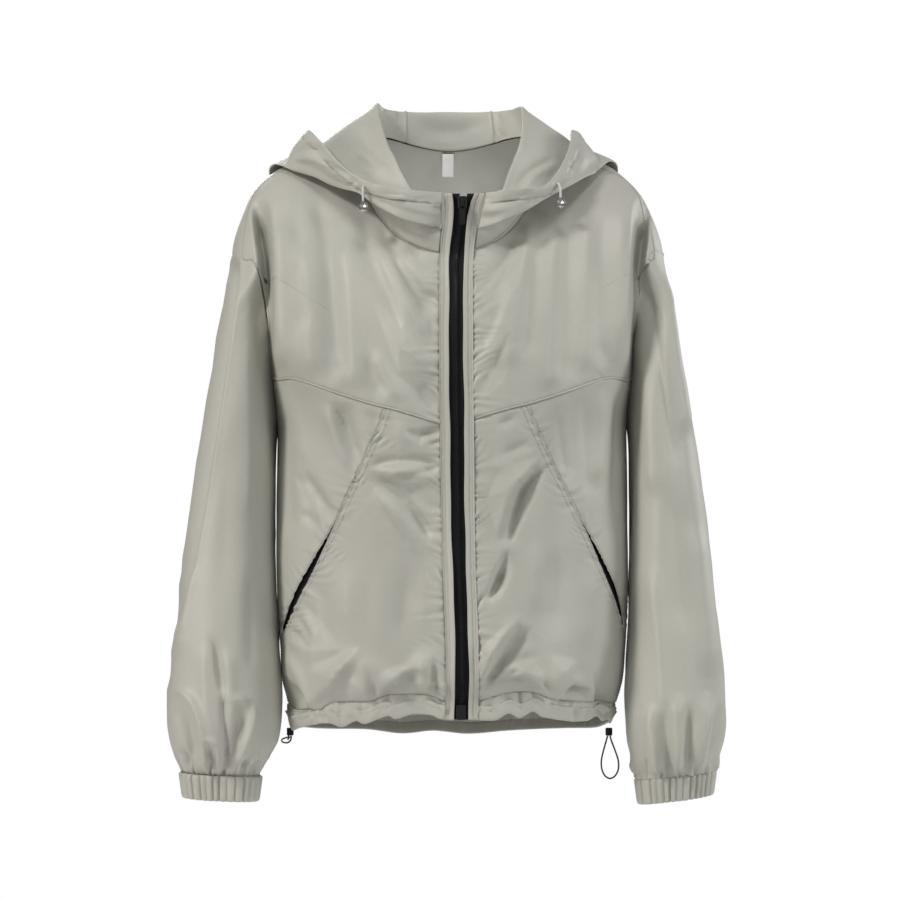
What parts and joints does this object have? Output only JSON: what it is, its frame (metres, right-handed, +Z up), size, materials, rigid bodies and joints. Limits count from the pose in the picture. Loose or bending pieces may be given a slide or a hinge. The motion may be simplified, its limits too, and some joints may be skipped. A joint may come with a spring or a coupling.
{
  "type": "sun protection jacket",
  "caption": "Hooded, zip-front sun jacket with slanted yoke, zip pockets, drawcord hood and hem, and long sleeves with gathered cuffs; hollow, hanging filled out with the hood down.",
  "frame": {"origin": "middle of the neck opening, level with the shoulders' neck points", "axes": "+Z up; the front faces -Y; +X is the wearer's left"},
  "size_m": [0.5787, 0.2905, 0.7294],
  "materials": {
    "shell": "light smooth woven nylon, warm pale grey",
    "black_tape": "black woven zip tape",
    "black_plastic": "black moulded plastic and lacquered metal",
    "label": "white satin label, blank",
    "hood_cord": "thin round elastic cord, whitish",
    "silver_bead": "silvery faceted bead",
    "hem_cord": "thin round elastic cord, black"
  },
  "bodies": {
    "jacket": {"back": "shell", "cuff_l": "shell", "cuff_r": "shell", "front_centre_l": "shell", "front_centre_r": "shell", "front_side_l": "shell", "front_side_r": "shell", "front_yoke_l": "shell", "front_yoke_r": "shell", "hem_back": "shell", "hem_cord_l": "hem_cord", "hem_cord_r": "hem_cord", "hem_front_l": "shell", "hem_front_r": "shell", "hem_toggle_l": "black_plastic", "hem_toggle_r": "black_plastic", "hood_ball_l": "silver_bead", "hood_ball_r": "silver_bead", "hood_centre": "shell", "hood_cord_l": "hood_cord", "hood_cord_r": "hood_cord", "hood_side_l": "shell", "hood_side_r": "shell", "neck_label": "label", "placket_l": "shell", "placket_r": "shell", "pocket_zip_l": "black_tape", "pocket_zip_r": "black_tape", "sleeve_l": "shell", "sleeve_r": "shell", "zip_box": "black_plastic", "zip_chain": "black_plastic", "zip_slider": "black_plastic", "zip_tape_l": "black_tape", "zip_tape_r": "black_tape"},
    "pull_tab": {"zip_pull": "black_plastic"}
  },
  "joints": [
    {"name": "pull_tab_hinge", "type": "hinge", "parent": "jacket", "child": "pull_tab", "pos_m": [0.01248, -0.10999, -0.06175], "axis": [-1, 0, 0], "range_deg": [0, 150]}
  ]
}
